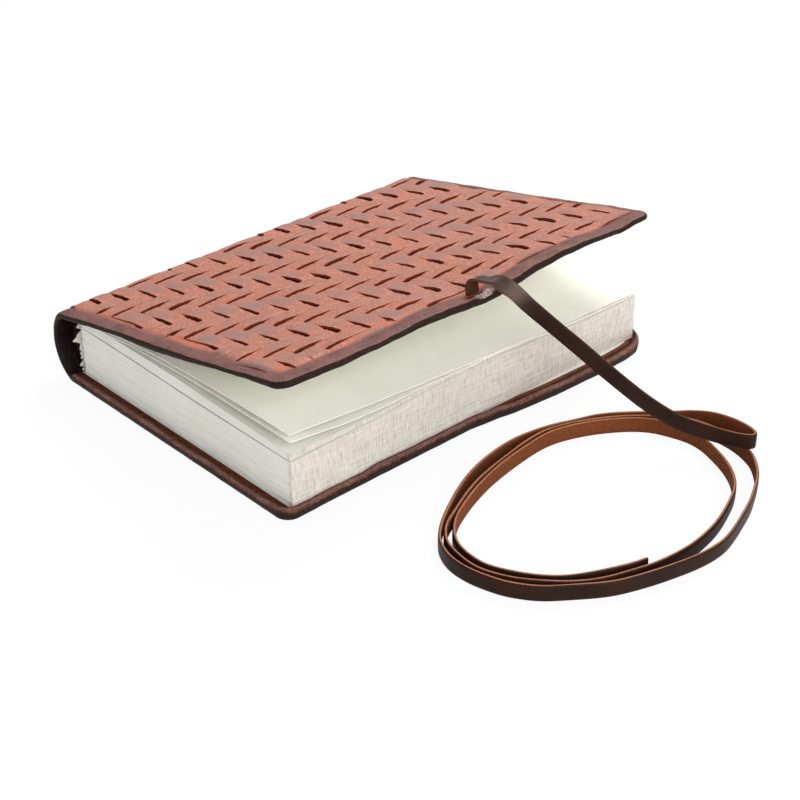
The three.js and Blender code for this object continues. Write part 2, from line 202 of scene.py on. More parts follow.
def tone(*seen):
    # a colour as it is seen on a screen, out of 255
    shares = [c / 255 for c in seen]
    return (*(c / 12.92 if c <= 0.04045 else ((c + 0.055) / 1.055) ** 2.4 for c in shares), 1.0)


class Wire:
    # one socket's value in a finish, that can be reckoned with
    def __init__(self, finish, socket):
        self.finish = finish
        self.socket = socket

    def maths(self, operation, *values):
        return self.finish.add("ShaderNodeMath", {"operation": operation}, values)

    def __add__(self, other):
        return self.maths("ADD", self, other)

    __radd__ = __add__

    def __sub__(self, other):
        return self.maths("SUBTRACT", self, other)

    def __rsub__(self, other):
        return self.maths("SUBTRACT", other, self)

    def __mul__(self, other):
        return self.maths("MULTIPLY", self, other)

    __rmul__ = __mul__

    def clamped(self):
        return self.finish.add("ShaderNodeClamp", {}, (self,))


class Nodes:
    def __init__(self, owner):
        owner.use_nodes = True
        self.tree = owner.node_tree
        self.tree.nodes.clear()

    def feed(self, socket, value):
        # puts a number, a colour or a wire into a socket
        if isinstance(value, Wire):
            self.tree.links.new(value.socket, socket)
        else:
            socket.default_value = value

    def add(self, kind, settings, values, output=0):
        # any node: its settings come first, then what goes into its sockets
        node = self.tree.nodes.new(kind)
        for key, setting in settings.items():
            setattr(node, key, setting)
        for socket, value in values.items() if isinstance(values, dict) else enumerate(values):
            self.feed(node.inputs[socket], value)
        return Wire(self, node.outputs[output]) if node.outputs else None


class Finish(Nodes):
    def __init__(self, name, **shader):
        self.material = bpy.data.materials.new(name)
        super().__init__(self.material)
        self.shader = self.tree.nodes.new("ShaderNodeBsdfPrincipled")
        self.add("ShaderNodeOutputMaterial", {}, (Wire(self, self.shader.outputs[0]),))
        for socket, value in shader.items():
            self.set(socket.replace("_", " "), value)

    def set(self, socket, value):
        self.feed(self.shader.inputs[socket], value)

    def place(self, stretch):
        # where a point of the piece is, in millimetres over the stretch
        here = self.add("ShaderNodeTexCoord", {}, (), "Object")
        return self.stretched(here, [1 / (mm * s) for s in stretch])

    def stretched(self, place, factors):
        return self.add("ShaderNodeVectorMath", {"operation": "MULTIPLY"}, (place, factors))

    def noiseAt(self, place, detail, roughness):
        sockets = {"Vector": place, "Scale": 1.0, "Detail": detail, "Roughness": roughness}
        return self.add("ShaderNodeTexNoise", {}, sockets)

    def noise(self, size, detail, roughness=0.55, stretch=(1, 1, 1)):
        return self.noiseAt(self.place([size * s for s in stretch]), detail, roughness)

    def scratches(self, size, long, angle):
        # fine marks that all run one way
        turned = self.add("ShaderNodeVectorRotate", {"rotation_type": "Z_AXIS"},
                          {"Vector": self.place((size, size, size)), "Angle": angle})
        return self.noiseAt(self.stretched(turned, (1 / long, 1, 1)), 3, 0.6)

    def grain(self):
        # leather grain: pebbles with creases between them, and fine pores
        pebbles = self.add("ShaderNodeTexVoronoi", {"feature": "DISTANCE_TO_EDGE"},
                           {"Vector": self.place((0.5, 0.5, 0.5)), "Scale": 1.0})
        return self.ramp(pebbles, 0.0, 0.32) * 0.6 + self.noise(0.3, 2) * 0.5

    def painted(self, *names):
        return [self.add("ShaderNodeAttribute", {"attribute_name": name}, (), "Fac")
                for name in names]

    def ramp(self, value, low, high):
        # 0 under low, 1 over high
        sockets = {"Value": value, "From Min": low, "From Max": high}
        return self.add("ShaderNodeMapRange", {"interpolation_type": "SMOOTHSTEP"}, sockets)

    def mix(self, share, *colours):
        # a colour is a wire, or red, green and blue as a screen shows them
        first, second = (c if isinstance(c, Wire) else tone(*c) for c in colours)
        settings = {"data_type": "RGBA", "clamp_factor": True}
        return self.add("ShaderNodeMix", settings, {0: share, 6: first, 7: second}, 2)

    def over(self, colour, *layers):
        # lays colours over the first one, each through its own mask
        for mask, layer in layers:
            colour = self.mix(mask, colour, layer)
        return colour

    def bump(self, height, depth, strength):
        # depth is the height of a full step, in millimetres
        sockets = {"Height": height, "Distance": depth * mm, "Strength": strength}
        self.set("Normal", self.add("ShaderNodeBump", {}, sockets))


def coverFinish(name, specular):
    # the jacket's leather, from the orange field to the dark turned edge
    f = Finish(name, Specular_IOR_Level=specular)
    crest, edgeDye, cut, lip, cross, edge, worn, inner, scuff, wet = f.painted(
        "crest", "edgeDye", "cut", "lip", "cross", "edge", "worn", "inner", "scuff", "wet")
    fine, specks, mottle = f.noise(0.8, 4, 0.65), f.noise(1.5, 5, 0.75), f.noise(2.6, 4, 0.7)
    cloudy, broad, scratch = f.noise(9, 3, 0.5), f.noise(30, 2, 0.5), f.scratches(0.42, 7, 0.6)
    # the raised middles are rubbed to a purple grey and carry a painted sheen, most of all on the
    # cross strips
    rubbedAndSheen = f.ramp(crest, 0.3, 1.0) * (cross * 0.5 + 0.4)
    patches = f.ramp(cloudy * 0.5 + broad * 0.5 + fine * 0.2, 0.42, 0.74)
    band = f.over((112, 77, 73), (f.ramp(cloudy, 0.3, 0.7), (80, 52, 50)),
                  (f.ramp(fine, 0.36, 0.7) * 0.6, (150, 112, 106)))
    dark = f.over((34, 19, 14), (f.ramp(edge, 1.15, 1.7), (22, 13, 11)),
                  (f.ramp(specks, 0.5, 0.72) * 0.5, (74, 52, 46)))
    inside = f.mix(f.ramp(specks, 0.4, 0.6), (110, 52, 34), (52, 28, 21))
    # rubs along the border's ridge and the back rim's crest, partly real wear and partly a painted
    # highlight
    rubsAndHighlights = f.ramp(fine * 0.6 + specks * 0.4, 0.44, 0.6) * f.ramp(worn, 0.3, 0.9)
    dents = f.ramp(scuff, 0.2, 0.8) * f.ramp(fine, 0.38, 0.55)
    f.set("Base Color", f.over(
        (178, 108, 86),
        (f.ramp(cloudy, 0.3, 0.75), (168, 114, 100)),
        (f.ramp(fine, 0.4, 0.75) * 0.5, (198, 130, 102)),
        (f.ramp(scratch, 0.5, 0.68) * 0.6, (146, 84, 66)),
        (f.ramp(scratch, 0.5, 0.3) * 0.45, (222, 166, 140)),
        (f.ramp(mottle, 0.5, 0.7) * 0.5, (150, 88, 70)),
        (f.ramp(mottle, 0.48, 0.3) * 0.35, (224, 150, 118)),
        ((rubbedAndSheen * (patches * 0.85 + 0.2)).clamped(), (146, 112, 106)),
        # the valleys where a strip dives keep the clean orange of the dye
        (f.ramp(crest, 0.45, 0.05) * 0.5, (200, 104, 76)),
        ((edgeDye * (fine * 0.5 + 0.7)).clamped(), band),
        (f.ramp(edge, 0.25, 0.75), dark),
        (f.ramp(inner, 0.3, 0.8), inside),
        (rubsAndHighlights.clamped() * 0.55, (146, 94, 70)),
        # a thin painted highlight line along the ridge
        (f.ramp(worn, 0.55, 0.95) * f.ramp(cloudy, 0.4, 0.6) * 0.22, (164, 132, 120)),
        (dents.clamped() * 0.9, (222, 204, 194)),
        (f.ramp(wet, 0.3, 0.7), (146, 58, 42)),
        # the pale lip: the cut edge's own pale colour and a painted highlight on the edge that
        # faces the light
        (f.ramp(lip, 0.45, 0.95) * 0.9, (206, 150, 122)),
        # painted shade in the slashes, the pits and the slit, over the dark dye of the cut edges
        (f.ramp(cut, 0.1, 0.6), (122, 52, 36))))
    f.set("Roughness", f.ramp(fine, 0.2, 0.8) * 0.16 + 0.5 - (wet * 0.25 + edge * 0.06).clamped())
    f.bump(f.grain() + fine * 0.5 + scratch * 0.6, 0.08, 0.8)
    return f.material


def darkLeatherFinish(name, colour, second, rough):
    f = Finish(name, Specular_IOR_Level=0.4)
    cloudy, fine = f.noise(8, 4, 0.6), f.noise(0.7, 4, 0.7)
    f.set("Base Color", f.over(colour, (f.ramp(cloudy, 0.3, 0.7), second),
                               (f.ramp(fine, 0.35, 0.8) * 0.4, second)))
    f.set("Roughness", f.ramp(fine, 0.2, 0.8) * 0.15 + rough)
    f.bump(f.grain() + fine * 0.6, 0.08, 0.8)
    return f.material


def paperFinish(name, colour, shade, layered=False):
    # layered paper shows page lines at its edges, and saw marks where it is painted trimmed
    f = Finish(name, Specular_IOR_Level=0.25, Roughness=0.86)
    fibre, cloudy = f.noise(0.35, 4, 0.7), f.noise(16, 3, 0.5)
    base = f.over(colour, (f.ramp(cloudy, 0.3, 0.75) * 0.5, shade),
                  (f.ramp(fibre, 0.4, 0.8) * 0.2, shade))
    if layered:
        rim, trim = f.painted("rim", "trim")
        pages = f.noise(0.17, 2, 0.6, (60, 60, 1))
        saw = f.noise(0.34, 3, 0.75, (30, 1, 16))
        lines = (f.ramp(pages, 0.48, 0.66) * rim * (trim * 0.55 + 0.02)
                 + f.ramp(saw, 0.46, 0.64) * trim)
        base = f.over(base, (trim * 0.8, (214, 205, 195)),
                      ((lines * 0.5).clamped(), (140, 130, 122)))
        f.bump((pages * 0.4 + (saw + pages) * trim * 0.8) * rim, 0.08, 0.8)
    else:
        f.bump(fibre, 0.03, 0.6)
    f.set("Base Color", base)
    return f.material


def laceFinish():
    f = Finish("strap_leather", Specular_IOR_Level=0.1)
    flesh, cut, bent, hidden, loop = f.painted("flesh", "cut", "bent", "hidden", "loop")
    fine, nap, cloudy = f.noise(0.5, 4, 0.7), f.noise(0.9, 5, 0.8), f.noise(12, 3, 0.5)
    # the grain side, with a painted highlight at the fold and a painted sheen over the arch
    grainSide = f.over((46, 25, 16), (f.ramp(cloudy, 0.3, 0.7), (34, 18, 12)),
                       ((bent * (fine * 0.6 + 0.5)).clamped(), (116, 94, 90)))
    suede = f.over((90, 46, 25), (f.ramp(nap, 0.3, 0.75), (124, 68, 37)),
                   (f.ramp(fine, 0.45, 0.8) * 0.5, (150, 90, 54)),
                   # painted shade on the flesh side inside the arch by the slit
                   (hidden * 0.8, (52, 30, 22)))
    pale = f.mix(f.ramp(fine, 0.35, 0.7), (140, 88, 62), (176, 124, 96))
    edges = f.over((70, 42, 30), (f.ramp(fine, 0.3, 0.75), (90, 54, 36)), (loop, pale))
    f.set("Base Color", f.over(grainSide, (f.ramp(flesh, 0.4, 0.6), suede),
                               (f.ramp(cut, 0.45, 0.75), edges)))
    rough = (f.ramp(flesh, 0.4, 0.6) + f.ramp(cut, 0.4, 0.6)).clamped()
    f.set("Roughness", rough * 0.42 + 0.4 + fine * 0.08)
    f.bump(fine * 0.8 + nap * rough * 0.8, 0.06, 0.8)
    return f.material


wovenLeather = coverFinish("woven_leather", 0.22)
coverEdge = coverFinish("edge_leather", 0.13)
spineLeather = darkLeatherFinish("spine_leather", (50, 30, 24), (74, 44, 34), 0.6)
liningLeather = darkLeatherFinish("lining_leather", (104, 60, 40), (128, 80, 56), 0.8)
boardFinish = darkLeatherFinish("board", (154, 132, 104), (132, 110, 84), 0.9)
pageFinish = paperFinish("paper", (244, 243, 234), (235, 234, 220))
edgeFinish = paperFinish("paper_edge", (230, 230, 222), (220, 219, 208), True)
clothFinish = paperFinish("spine_lining", (226, 224, 212), (198, 194, 178))
threadFinish = paperFinish("sewing_thread", (214, 204, 176), (186, 172, 140))
strapLeather = laceFinish()
print("finishes mixed")


def finishPiece(piece, material, slot, *replaced):
    piece.data.materials.append(material)
    if replaced:
        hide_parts(*replaced)


# The covers as one bent sheet: s runs over the front cover from its hinge, and below 0 round
# the spine and along the back cover

ajar = math.radians(12.13)
jacket = {
    "skin": 0.1,  # level of the resting surface over the front hinge's axis
    "ovalMiddle": (-56.6, 15.5),  # the spine follows part of an oval
    "ovalHalf": (12.2, 15.1),
    "ovalFrom": 142,
    "ovalTo": 232,
    "reach": 132,
    "shoulder": 0.3,  # where the cover starts to bend down to the spine
    "foot": -58.6,
}


def coverLine(u, w=0.0):
    return np.array([frontHinge[0] + u * math.cos(ajar) - w * math.sin(ajar),
                     frontHinge[1] + u * math.sin(ajar) + w * math.cos(ajar)])


def ovalPoint(degrees):
    a = math.radians(degrees)
    (x, z), (halfX, halfZ) = jacket["ovalMiddle"], jacket["ovalHalf"]
    return np.array([x + halfX * math.cos(a), z + halfZ * math.sin(a)])


def ovalHeading(degrees):
    a = math.radians(degrees)
    halfX, halfZ = jacket["ovalHalf"]
    return unit(np.array([-halfX * math.sin(a), halfZ * math.cos(a)]))


def meeting(p, wayP, q, wayQ):
    # where two straight lines cross
    a, _ = np.linalg.solve(np.array([wayP, -wayQ]).T, q - p)
    return p + a * wayP


def bend(p, corner, q, steps=14):
    t = np.linspace(0, 1, steps)[:, None]
    return (1 - t) ** 2 * p + 2 * t * (1 - t) * corner + t ** 2 * q


def jacketCourse():
    skin = jacket["skin"]
    plane = np.array([coverLine(u, skin) for u in range(jacket["reach"], 0, -1)])
    top = coverLine(jacket["shoulder"], skin)
    slope = np.array([math.cos(ajar), math.sin(ajar)])
    high, low = jacket["ovalFrom"], jacket["ovalTo"]
    upper = bend(top, meeting(top, slope, ovalPoint(high), ovalHeading(high)), ovalPoint(high))
    oval = np.array([ovalPoint(d) for d in np.arange(high + 2, low, 2)])
    flat = np.array([jacket["foot"], 0.0])
    corner = meeting(ovalPoint(low), ovalHeading(low), flat, np.array([1.0, 0.0]))
    lower = bend(ovalPoint(low), corner, flat)
    back = np.array([(x, 0.0) for x in np.arange(jacket["foot"] + 1, foreEdge + 3)])
    points = np.concatenate([plane, upper, oval, lower, back])
    s = jacket["reach"] - lengthAlong(points)
    ways = unit(np.gradient(points, axis=0))
    # places and outward directions
    course = np.stack([*points.T, ways[:, 1], -ways[:, 0]], axis=1)
    return s[::-1], course[::-1]


courseS, course = jacketCourse()


def courseAt(s):
    x, z, nx, nz = (np.interp(s, courseS, column) for column in course.T)
    size = np.hypot(nx, nz)
    return x, z, nx / size, nz / size


def sNear(x, z):
    # the course's own measure at its point nearest to a place
    return float(courseS[np.argmin(np.hypot(course[:, 0] - x, course[:, 1] - z))])


footS = sNear(jacket["foot"], 0.0)
middleS = sNear(*ovalPoint(186))
backForeS = sNear(foreEdge, 0.0)
frontLength = foreEdge + 0.1 - frontHinge[0]

# How far the worn front cover hangs below flat: a broad droop, and waves along its fore edge
sagSet = {
    "y": (-89, -71, -62, -45, -30, -21, -11, 0, 12, 20, 27, 40, 55, 70, 79, 89),
    "broad": (1.5, 1.5, 1.4, 1.4, 1.3, 1.3, 1.2, 1.2, 1.1, 1.0, 0.9, 0.7, 0.4, 0.2, 0.0, -0.1),
    "wave": (-0.2, 0.3, 0.7, 0.9, 0.0, -0.1, 0.4, 1.1, 0.5, -0.4, -1.2, -1.5, -0.9, 0.3, -0.3,
             -0.2),
}


def coverSag(s, y):
    broad = np.interp(y, sagSet["y"], sagSet["broad"]) * smooth(s, 8, 95)
    wave = np.interp(y, sagSet["y"], sagSet["wave"]) * smooth(s, 84, 128)
    return broad + wave + 0.25 * ripple(s, y, 26, 2.0) * smooth(s, 10, 60)


# The back cover's edge is wavy in plan: places along it, and how far it stands out there
rimWave = ((-89, -70, -40, -4, 8, 16, 35, 58, 74, 80, 85, 89),
           (-2.0, -2.4, -2.4, -2.2, -0.8, 0.6, 2.3, 3.0, 2.6, 1.6, -1.4, -5.0))


def onJacket(s, y, w):
    s, y, w = np.broadcast_arrays(*(np.asarray(v, float) for v in (s, y, w)))
    x, z, nx, nz = courseAt(s)
    lift = w - np.where(s > 0, coverSag(s, y), 0)
    shift = np.interp(y, *rimWave) * smooth(-s, 100, -backForeS)
    return np.stack([x + nx * lift + shift, y, z + nz * lift], axis=-1)


def joinAcross(piece, s, reach=4.0):
    # the piece's placing is baked into its points; the points a few millimetres on both sides of a
    # hinge are found but not used
    ends = [Vector(onJacket(s + k * reach, 0.0, 0.0)) * mm for k in (1, -1)]
    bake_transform(piece)


def joinFront(piece):
    joinAcross(piece, 0.0)


def joinBack(piece):
    joinAcross(piece, sNear(*backHinge))


def rideFront(piece):
    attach(piece, "front_cover")


def rideBack(piece):
    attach(piece, "back_cover")


# Tie: a flat lace, one piece from the slit to its tip

laceSet = {
    "width": 6.0,
    "thickness": 1.05,
    "rest": 3.05,  # height of its middle line, where it stands on its edge
    "slitInset": 5.3,
    "slitY": -0.2,
    "axisDepth": 3.2,  # from the cover's skin to its underside
    "straight": 2,  # steps of its course before it folds over the edge
    "curl": 2.2,
    "twist": 0.5,
    "evenFrom": 50,  # from this point of the curve on, its course is evened out
    "evened": 4,
    "floor": 0.02,  # it lies this far over the table at least
}
slitS = frontLength - laceSet["slitInset"]
# offsets from the slit along and across the cover, and the height over its underside
laceOverEdge = [(0, 0, 0.6), (0, 0, 2.0), (0, 0.1, 3.9), (0.6, 0.5, 5.5), (2.3, 2.0, 5.9),
                (4.7, 4.0, 5.2), (6.9, 6.0, 4.4)]
# then places in the frame, down to the table, and round on it
laceDown = [(70.9, 8.7, 53.4), (75.0, 11.2, 49.3), (80.1, 14.2, 44.8), (85.3, 17.2, 40.3),
            (90.9, 20.4, 35.6), (96.0, 23.3, 31.2), (101.0, 26.2, 26.9), (106.0, 29.0, 22.8),
            (111.6, 32.2, 18.4), (117.5, 35.6, 14.6), (124.3, 39.5, 11.4), (132.3, 43.9, 9.9),
            (138.6, 46.9, 9.3), (142.4, 48.9, 9.2), (144.5, 50.7, 9.2), (144.9, 52.2, 9.2),
            (143.6, 53.5, 9.2), (140.2, 54.6, 9.1), (134.4, 56.0, 8.2), (128.0, 56.6, 7.1),
            (122.0, 56.2, 5.9), (116.2, 54.2, 4.5), (111.0, 50.8, 3.4)]
laceLoops = [
    (95.4, 33.2), (90.4, 21.0), (86.7, 11.0), (84.5, -2.8), (85.9, -16.6), (88.7, -27.5),
    (93.0, -38.0), (98.6, -48.2), (103.3, -55.6), (109.2, -62.4), (117.4, -66.4), (126.4, -66.9),
    (135.9, -64.6), (141.8, -61.9), (148.4, -57.0), (154.1, -49.9), (161.4, -39.6),
    (165.5, -29.2), (168.6, -18.4), (170.8, -7.9), (171.1, 2.2), (169.0, 11.0), (165.7, 20.3),
    (163.1, 26.9), (160.3, 32.3), (155.8, 40.2), (150.8, 45.8), (145.1, 50.2), (136.4, 53.3),
    (127.9, 53.8), (119.2, 52.1), (112.4, 48.4), (101.6, 37.4), (94.8, 27.0), (90.2, 17.0),
    (88.0, 8.0), (88.6, -2.8), (89.9, -11.0), (91.4, -19.4), (93.6, -29.0), (97.0, -38.5),
    (101.5, -48.2), (104.8, -54.9), (108.6, -59.2), (113.0, -62.2), (119.5, -64.0),
    (126.4, -64.7), (132.6, -63.4), (140.2, -59.7), (147.0, -54.4), (153.0, -48.4),
    (158.1, -40.7), (161.5, -31.3), (164.3, -21.6), (165.6, -9.8), (165.1, -0.6), (163.1, 9.6),
    (159.8, 18.8), (156.4, 26.5), (153.1, 31.5), (148.0, 36.3), (142.1, 40.1), (135.4, 43.1),
    (128.1, 45.6), (121.3, 46.0), (113.7, 43.9), (108.4, 41.4), (102.9, 36.5), (96.6, 27.4),
    (92.2, 17.8), (89.9, 8.4), (90.6, -4.4), (93.0, -20.1), (96.8, -33.5), (101.0, -43.8),
    (104.6, -50.6), (108.7, -55.5), (112.9, -58.8), (117.5, -60.8), (123.5, -61.7),
    (129.8, -61.2), (138.2, -57.4), (145.4, -52.4), (150.9, -46.1), (156.1, -36.0),
    (159.4, -27.9), (160.9, -22.2)]


def laceCourse():
    run = []
    for along, over, height in laceOverEdge:
        x, z = coverLine(slitS + along, height - laceSet["axisDepth"])
        run.append((x, laceSet["slitY"] + over, z))
    return run + laceDown + [(x, y, laceSet["rest"]) for x, y in laceLoops]


def spline(points, steps):
    # a Catmull-Rom curve through the points, with the share of the way along
    points = np.asarray(points, float)
    padded = np.concatenate([[2 * points[0] - points[1]], points, [2 * points[-1] - points[-2]]])
    share = np.arange((len(points) - 1) * steps + 1) / steps
    k = np.minimum(share.astype(int), len(points) - 2)
    t = (share - k)[:, None]
    p0, p1, p2, p3 = (padded[k + i] for i in range(4))
    return 0.5 * (2 * p1 + (p2 - p0) * t + (2 * p0 - 5 * p1 + 4 * p2 - p3) * t ** 2
                  + (3 * p1 - p0 - 3 * p2 + p3) * t ** 3), share


def makeLace():
    overEdge = len(laceOverEdge)
    centre, step = spline(laceCourse(), 6)
    k = laceSet["evenFrom"]
    for _ in range(laceSet["evened"]):
        centre[k:-1] = (centre[k - 1:-2] + 2 * centre[k:-1] + centre[k + 1:]) / 4
    way = unit(np.gradient(centre, axis=0))
    outward = unit(np.stack([way[:, 1], -way[:, 0], np.zeros(len(way))], axis=1))
    coverUp = np.array([-math.sin(ajar), 0, math.cos(ajar)])
    towardSpine = np.array([-math.cos(ajar), 0, -math.sin(ajar)])
    folded = np.clip((step - laceSet["straight"]) / laceSet["curl"], 0, 1)[:, None]
    face = towardSpine * (1 - folded) + coverUp * folded
    turned = smooth(step, overEdge - 2, overEdge + laceSet["twist"])[:, None]
    face = face * (1 - turned) + outward * turned
    face = unit(face - way * np.sum(face * way, axis=1)[:, None])
    side = np.cross(face, way)
    halfW, halfT = laceSet["width"] / 2, laceSet["thickness"] / 2
    # half way round the lace: place, height, how much flesh side, how much cut edge
    half = [(0, halfT + 0.06, 0, 0), (halfW * 0.5, halfT + 0.04, 0, 0),
            (halfW - 0.35, halfT - 0.03, 0, 0), (halfW - 0.08, halfT - 0.3, 0, 0.55),
            (halfW, -0.05, 0, 1), (halfW - 0.05, -halfT + 0.2, 0.5, 1),
            (halfW - 0.3, -halfT, 1, 0.1), (halfW * 0.5, -halfT - 0.03, 1, 0),
            (0, -halfT - 0.05, 1, 0)]
    other = [(-over, *rest) for over, *rest in reversed(half[1:-1])]
    section = other[-2:] + half + other[:-2]
    length = lengthAlong(centre)
    rings = []
    for k, (over, through, _, _) in enumerate(section):
        uneven = 1 + 0.025 * ripple(length, 7.0 * k, 7, 4.0)
        rings.append(centre + side * (over * uneven)[:, None] + face * through)
    rings = np.stack(rings, axis=1)
    rings[:, :, 2] = np.maximum(rings[:, :, 2], laceSet["floor"])
    lace = ringPiece("strap", rings, 60)
    # a painted highlight where the strap folds down over the edge, and a painted sheen over its
    # arch
    creaseHighlight = hill(step - (overEdge + 0.1), 0.7)
    shine = smooth(step, 3, 5) * smooth(step, overEdge + 2, overEdge) * 0.35
    count, around = len(centre), len(section)
    flesh, cut = (np.tile([line[k] for line in section], count) for k in (2, 3))
    paint(lace, flesh=flesh, cut=cut, bent=np.repeat(np.maximum(creaseHighlight, shine), around),
          # painted shade on the flesh inside the arch, near the slit
          hidden=np.repeat(smooth(step, 4.4, 2.6), around),
          loop=np.repeat(smooth(step, overEdge + 8, overEdge + 16), around))
    finishPiece(lace, strapLeather, "strap_leather", "strap_run", "strap_loops")
    tuple(centre[0] * mm)
    [tuple(p * mm) for p in centre]
    high, low = coverLine(slitS, 0)[1] - 2, laceSet["width"] + 2
    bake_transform(lace)
    print(f"strap made, {length[-1]:.0f} mm long")


makeLace()


# Weave of the front cover, over three and under three

weave = {
    "columns": 17,
    "rows": 23,
    "over": 3,
    "columnPitch": 7.12,
    "rowPitch": 7.27,
    "firstRow": -79.0,
    "spread": 2.8,  # the hand-cut columns are wider apart near the spine
    "lean": 2.6,  # the columns lean to the spine at the tail
    "climb": 3,  # the rows climb toward the fore edge
    "shift": (1.7, -1.9),
    "byHeight": (1.12, -0.88),  # how far a line is moved for each millimetre of height
    "strip": 7.2,  # mean width of a strip
    "half": 3.55,  # half of the leather between two slashes
    "crest": 0.82,
    "seam": 0.2,
    "low": -0.6,
    "crown": 0.32,
    "lift": 0.5,  # how far the edge over a slash stands up
    "recess": 1.0,
    "farRecess": 1.15,
    "slant": 1.9,  # how far a slash runs off its line at its blunt end
    "nearSlant": 0.6,
    "slash": (0.4, 0.55),  # least opening, and what chance adds
    "short": 0.25,
    "pitOpen": 0.45,
    "pitInset": 0.35,
    "pitDepth": 1.1,
    "step": 0.5,
    "spineColumns": 5,
    "tuck": 1.6,  # how far the strips run on under the border
}
margin = {"tail": 5.9, "fore": 7.4, "head": 3.6, "corner": 6.0, "innerCorner": 0.6, "step": 1.1,
          "fine": 0.45}
fieldTail, fieldHead = -halfHeight + margin["tail"], halfHeight - margin["head"]
fieldFore = frontLength - margin["fore"]
repeat = 2 * weave["over"]


def lattice(column, row):
    # where a column's and a row's line cross on the cover
    s = weave["columnPitch"] * column + weave["spread"] * np.sin(np.pi * column / 16.5)
    y = weave["firstRow"] + weave["rowPitch"] * row
    lean = weave["lean"] * smooth(-y, 5, 50) * smooth(s, -6, 6)
    climb = weave["climb"] * np.clip((s - 55) / 60, 0, 2) ** 1.5
    height = 0.5 - np.where(s > 0, coverSag(s, y), 0)
    moveS, moveY = (a * height + b for a, b in zip(weave["byHeight"], weave["shift"]))
    # under the border the strips stop short of the edge
    s = np.minimum(s - lean + moveS, fieldFore + 3)
    return s, np.clip(y + climb + moveY, fieldTail - 2.5, fieldHead + 1.4)


def edgeNearness(s, y):
    # 1 at the outer edge of the cover, 0 where its own colour starts
    fore = smooth(frontLength - s + 0.8 * ripple(s, y, 7, 1.0), 9.0, 6.2)
    tail = smooth(y + halfHeight + 0.8 * ripple(s, y, 8, 2.5), 8.0, 5.0)
    head = smooth(halfHeight - y + 0.6 * ripple(s, y, 8, 4.0), 5.0, 2.8)
    return np.maximum(np.maximum(fore, tail), head)


def slash(share, isCross, line, number):
    # how far one slash is open at a share of its length, from its point to its blunt end
    kind, (least, more) = int(isCross), weave["slash"]
    size = least + more * chance(kind, line, number)
    short = weave["short"] * chance(line, number, kind + 5)
    x = np.clip((share - short) / (1 - short), 0, 1)
    gape = np.sin(0.6 * np.pi * x ** 1.2) * smooth(share, 1.1, 0.93)
    return size * gape * (1 + 0.07 * np.sin(21 * x + 9 * chance(number, kind, line)))


def pit(place, index, aside, isCross):
    # where a strip dives under the open edge of another: a hole with a straight far side, painted
    # dark as shade
    if isCross:
        turn = np.round((place - index + 3) / repeat)
        line, number, share = index - 4 + repeat * turn, 1 - turn, 0.75 - aside / 2
        before = (place - index + 3 - repeat * turn) * weave["columnPitch"]
    else:
        turn = np.round((place - index - 1) / repeat)
        line, number, share = index + 1 + repeat * turn, -turn, 0.75 + aside / 2
        before = (index + 1 + repeat * turn - place) * weave["rowPitch"]
    near = weave["nearSlant"]
    far = (weave["slant"] * runOff(share) * (near + (1 - near) * smooth(share, 1.03, 0.93))
           + weave["pitOpen"] * weave["farRecess"] * slash(share, not isCross, line, number)
           - weave["pitInset"])
    return smooth(before, far + 0.25, far - 0.2) * smooth(before, -3, -1.5)


def floatLevel(phase):
    part = np.mod(phase, repeat)
    arch = np.sin(np.pi * np.mod(part, weave["over"]) / weave["over"]) ** 0.6
    rise, fall = weave["crest"] - weave["seam"], weave["seam"] - weave["low"]
    return np.where(part < weave["over"], weave["seam"] + rise * arch, weave["seam"] - fall * arch)


def slashShare(place, line, isCross):
    # the way along the slash at a strip's open edge, from its point to the blunt end where
    # the strip dives
    share = (np.mod(place - line + 3, repeat) - 1) / 2
    return share if isCross else 1 - share


def runOff(share):
    return np.clip(share, 0, 1) * smooth(share, 1.4, 1.06)


across = np.array([-1, -0.93, -0.75, -0.4, 0, 0.4, 0.75, 0.93, 1])


